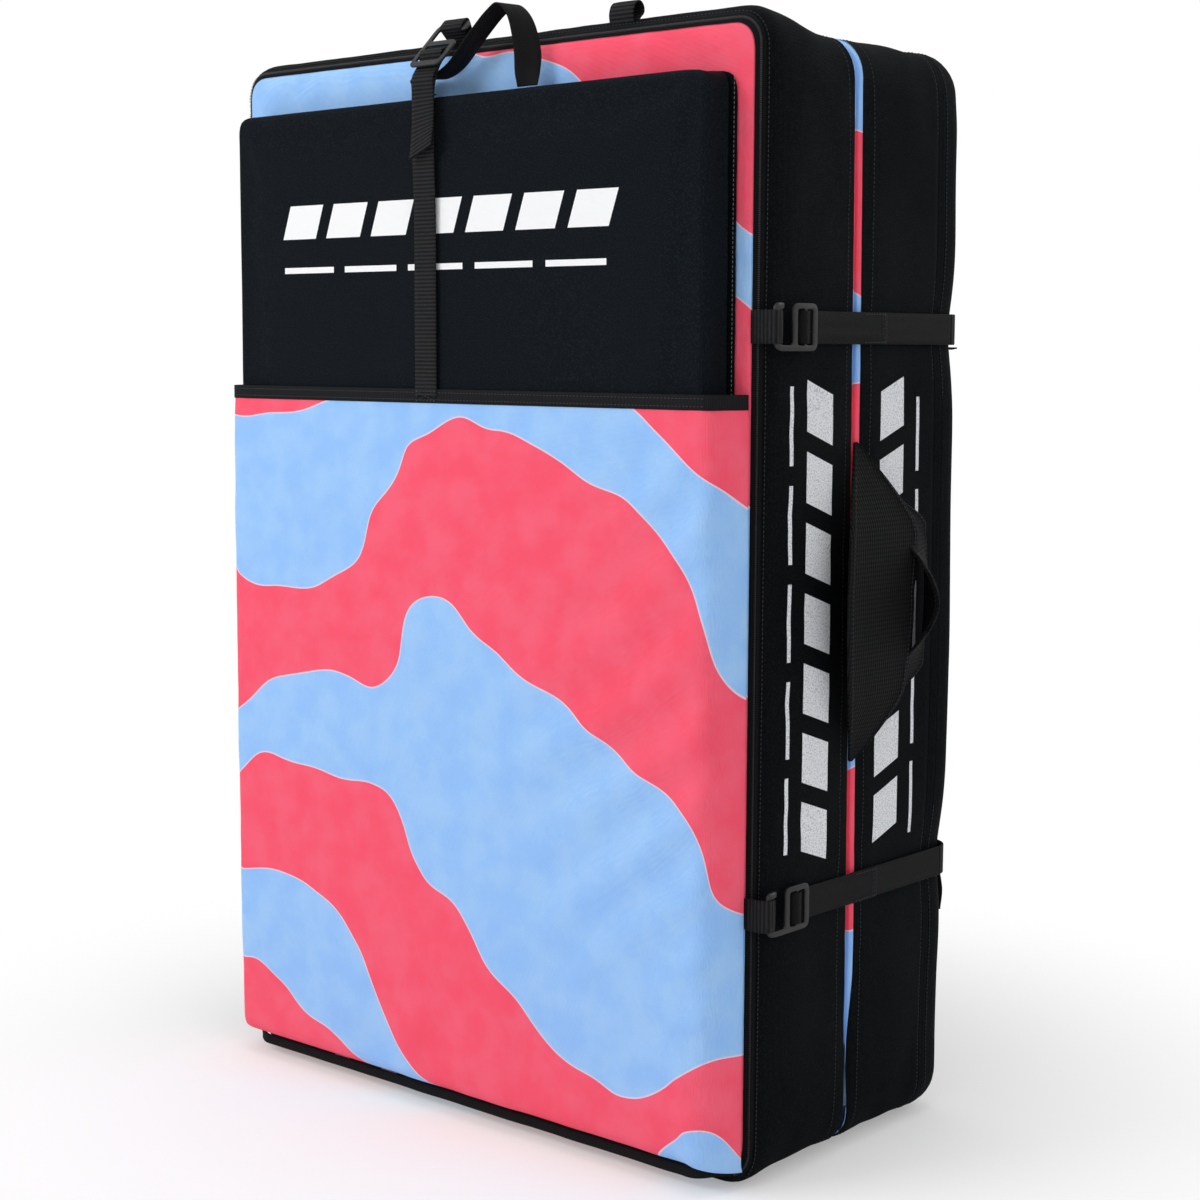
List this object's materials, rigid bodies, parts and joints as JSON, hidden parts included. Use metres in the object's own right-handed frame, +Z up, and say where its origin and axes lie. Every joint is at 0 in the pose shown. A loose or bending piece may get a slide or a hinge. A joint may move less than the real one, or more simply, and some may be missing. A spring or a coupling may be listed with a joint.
{
  "type": "bouldering crash pad",
  "caption": "Folding foam bouldering crash pad with a front pocket that holds a thin pad, webbing closures with hooks, grab handles and a carrying harness.",
  "frame": {"origin": "on the floor under the middle of the folded pad's bounding box, handles and harness included", "axes": "+Z up the standing pad; -Y the printed face with the pocket, +Y the face with the harness; +X the open side with the closures and grab handles, -X the fabric hinge"},
  "size_m": [0.7855, 0.3959, 1.0998],
  "materials": {
    "front_outer_panel": "printed woven polyester, matt",
    "front_zip_tape": "woven zip tape with moulded teeth",
    "front_side_band": "heavy woven nylon, matt",
    "front_landing_panel": "printed woven polyester, matt",
    "front_foam_base": "closed cell foam",
    "front_foam_core": "open cell foam",
    "front_foam_top": "closed cell foam",
    "hinge_strip": "heavy woven nylon, matt",
    "pocket_panel": "printed woven polyester, matt",
    "pocket_binding": "woven binding tape",
    "retaining_loop": "woven webbing",
    "haul_loop": "woven webbing",
    "upper_front_loop": "woven webbing",
    "lower_front_loop": "woven webbing",
    "rear_outer_panel": "heavy woven nylon, matt",
    "rear_edge_binding": "woven binding tape",
    "rear_side_band": "heavy woven nylon, matt",
    "rear_landing_panel": "printed woven polyester, matt",
    "rear_foam_base": "closed cell foam",
    "rear_foam_core": "open cell foam",
    "rear_foam_top": "closed cell foam",
    "upper_strap_base": "woven webbing",
    "upper_adjuster": "moulded black acetal",
    "lower_strap_base": "woven webbing",
    "lower_adjuster": "moulded black acetal",
    "harness_yoke": "heavy woven nylon, matt",
    "left_shoulder_webbing": "woven webbing",
    "right_shoulder_webbing": "woven webbing",
    "left_lower_anchor": "heavy woven nylon, matt",
    "right_lower_anchor": "heavy woven nylon, matt",
    "left_belt_patch": "heavy woven nylon, matt",
    "right_belt_patch": "heavy woven nylon, matt",
    "upper_strap": "woven webbing",
    "upper_hook": "black powder coat",
    "lower_strap": "woven webbing",
    "lower_hook": "black powder coat",
    "small_pad_cover": "heavy woven nylon, matt",
    "small_pad_foam": "open cell foam",
    "small_pad_back": "heavy woven nylon, matt",
    "small_pad_handle": "woven webbing",
    "retaining_strap": "woven webbing",
    "retaining_hook": "black powder coat",
    "front_handle": "heavy woven nylon, matt",
    "rear_handle": "heavy woven nylon, matt",
    "left_zip_slider": "black powder coat",
    "right_zip_slider": "black powder coat",
    "left_zip_pull": "plain bright metal",
    "right_zip_pull": "plain bright metal",
    "left_shoulder_pad": "heavy woven nylon, matt",
    "left_ladder_lock": "moulded black acetal",
    "right_shoulder_pad": "heavy woven nylon, matt",
    "right_ladder_lock": "moulded black acetal",
    "left_waist_belt": "woven webbing",
    "belt_socket": "moulded black acetal",
    "right_waist_belt": "woven webbing",
    "belt_plug": "moulded black acetal"
  },
  "bodies": {
    "front_half": {"front_outer_panel": "front_outer_panel", "front_zip_tape": "front_zip_tape", "front_side_band": "front_side_band", "front_landing_panel": "front_landing_panel", "front_foam_base": "front_foam_base", "front_foam_core": "front_foam_core", "front_foam_top": "front_foam_top", "hinge_strip": "hinge_strip", "pocket_panel": "pocket_panel", "pocket_binding": "pocket_binding", "retaining_loop": "retaining_loop", "haul_loop": "haul_loop", "upper_front_loop": "upper_front_loop", "lower_front_loop": "lower_front_loop"},
    "rear_half": {"rear_outer_panel": "rear_outer_panel", "rear_edge_binding": "rear_edge_binding", "rear_side_band": "rear_side_band", "rear_landing_panel": "rear_landing_panel", "rear_foam_base": "rear_foam_base", "rear_foam_core": "rear_foam_core", "rear_foam_top": "rear_foam_top", "upper_strap_base": "upper_strap_base", "upper_adjuster": "upper_adjuster", "lower_strap_base": "lower_strap_base", "lower_adjuster": "lower_adjuster", "harness_yoke": "harness_yoke", "left_shoulder_webbing": "left_shoulder_webbing", "right_shoulder_webbing": "right_shoulder_webbing", "left_lower_anchor": "left_lower_anchor", "right_lower_anchor": "right_lower_anchor", "left_belt_patch": "left_belt_patch", "right_belt_patch": "right_belt_patch"},
    "upper_closure": {"upper_strap": "upper_strap", "upper_hook": "upper_hook"},
    "lower_closure": {"lower_strap": "lower_strap", "lower_hook": "lower_hook"},
    "small_pad": {"small_pad_cover": "small_pad_cover", "small_pad_foam": "small_pad_foam", "small_pad_back": "small_pad_back"},
    "carry_handle": {"small_pad_handle": "small_pad_handle"},
    "retaining_closure": {"retaining_strap": "retaining_strap", "retaining_hook": "retaining_hook"},
    "front_grab": {"front_handle": "front_handle"},
    "rear_grab": {"rear_handle": "rear_handle"},
    "left_slider": {"left_zip_slider": "left_zip_slider"},
    "right_slider": {"right_zip_slider": "right_zip_slider"},
    "left_pull": {"left_zip_pull": "left_zip_pull"},
    "right_pull": {"right_zip_pull": "right_zip_pull"},
    "left_shoulder": {"left_shoulder_pad": "left_shoulder_pad", "left_ladder_lock": "left_ladder_lock"},
    "right_shoulder": {"right_shoulder_pad": "right_shoulder_pad", "right_ladder_lock": "right_ladder_lock"},
    "left_belt": {"left_waist_belt": "left_waist_belt", "belt_socket": "belt_socket"},
    "right_belt": {"right_waist_belt": "right_waist_belt", "belt_plug": "belt_plug"}
  },
  "joints": [
    {"name": "fold", "type": "hinge", "parent": "front_half", "child": "rear_half", "pos_m": [-0.39476, 0.00035, 0], "axis": [0, 0, 1], "range_deg": [0, 180], "deforming": ["hinge_strip"]},
    {"name": "upper_closure_swing", "type": "hinge", "parent": "rear_half", "child": "upper_closure", "pos_m": [0.32384, 0.15435, 0.795], "axis": [0, 0, 1], "range_deg": [0, 100], "deforming": ["upper_front_loop"]},
    {"name": "lower_closure_swing", "type": "hinge", "parent": "rear_half", "child": "lower_closure", "pos_m": [0.32384, 0.15435, 0.262], "axis": [0, 0, 1], "range_deg": [0, 100], "deforming": ["lower_front_loop"]},
    {"name": "small_pad_slide", "type": "slide", "parent": "front_half", "child": "small_pad", "axis": [0, 0, 1], "range_m": [0, 0.45]},
    {"name": "retaining_swing", "type": "hinge", "parent": "front_half", "child": "retaining_closure", "pos_m": [-0.06026, -0.18925, 0.728], "axis": [1, 0, 0], "range_deg": [0, 160], "deforming": ["retaining_loop"]},
    {"name": "carry_handle_swing", "type": "hinge", "parent": "small_pad", "child": "carry_handle", "pos_m": [-0.03326, -0.16615, 1.0209], "axis": [1, 0, 0], "range_deg": [-8, 20]},
    {"name": "front_handle_swing", "type": "hinge", "parent": "front_half", "child": "front_grab", "pos_m": [0.32434, -0.01465, 0.538], "axis": [0, 0, 1], "range_deg": [-40, 4]},
    {"name": "rear_handle_swing", "type": "hinge", "parent": "rear_half", "child": "rear_grab", "pos_m": [0.32434, 0.01535, 0.538], "axis": [0, 0, 1], "range_deg": [-8, 2]},
    {"name": "left_zip_slide", "type": "slide", "parent": "front_half", "child": "left_slider", "axis": [1, 0, 0], "range_m": [-0.08, 0]},
    {"name": "right_zip_slide", "type": "slide", "parent": "front_half", "child": "right_slider", "axis": [1, 0, 0], "range_m": [0, 0.42]},
    {"name": "left_pull_swing", "type": "hinge", "parent": "left_slider", "child": "left_pull", "pos_m": [-0.25126, -0.14505, 0.00671], "axis": [0, 0.6157, -0.788], "range_deg": [0, 165]},
    {"name": "right_pull_swing", "type": "hinge", "parent": "right_slider", "child": "right_pull", "pos_m": [-0.15426, -0.14505, 0.00671], "axis": [0, -0.6157, 0.788], "range_deg": [0, 165]},
    {"name": "left_shoulder_swing", "type": "hinge", "parent": "rear_half", "child": "left_shoulder", "pos_m": [-0.10126, 0.18565, 0.8595], "axis": [1, 0, 0], "range_deg": [0, 60], "deforming": ["left_shoulder_webbing"]},
    {"name": "right_shoulder_swing", "type": "hinge", "parent": "rear_half", "child": "right_shoulder", "pos_m": [0.03474, 0.18565, 0.8595], "axis": [1, 0, 0], "range_deg": [0, 60], "deforming": ["right_shoulder_webbing"]},
    {"name": "left_belt_swing", "type": "hinge", "parent": "rear_half", "child": "left_belt", "pos_m": [-0.24326, 0.18445, 0.295], "axis": [0, 0, 1], "range_deg": [0, 150]},
    {"name": "right_belt_swing", "type": "hinge", "parent": "rear_half", "child": "right_belt", "pos_m": [0.17674, 0.18445, 0.295], "axis": [0, 0, -1], "range_deg": [0, 150]}
  ],
  "couplings": [
    {"joint": "retaining_swing", "follows": "small_pad_slide", "rad_per_m": 6.2}
  ]
}
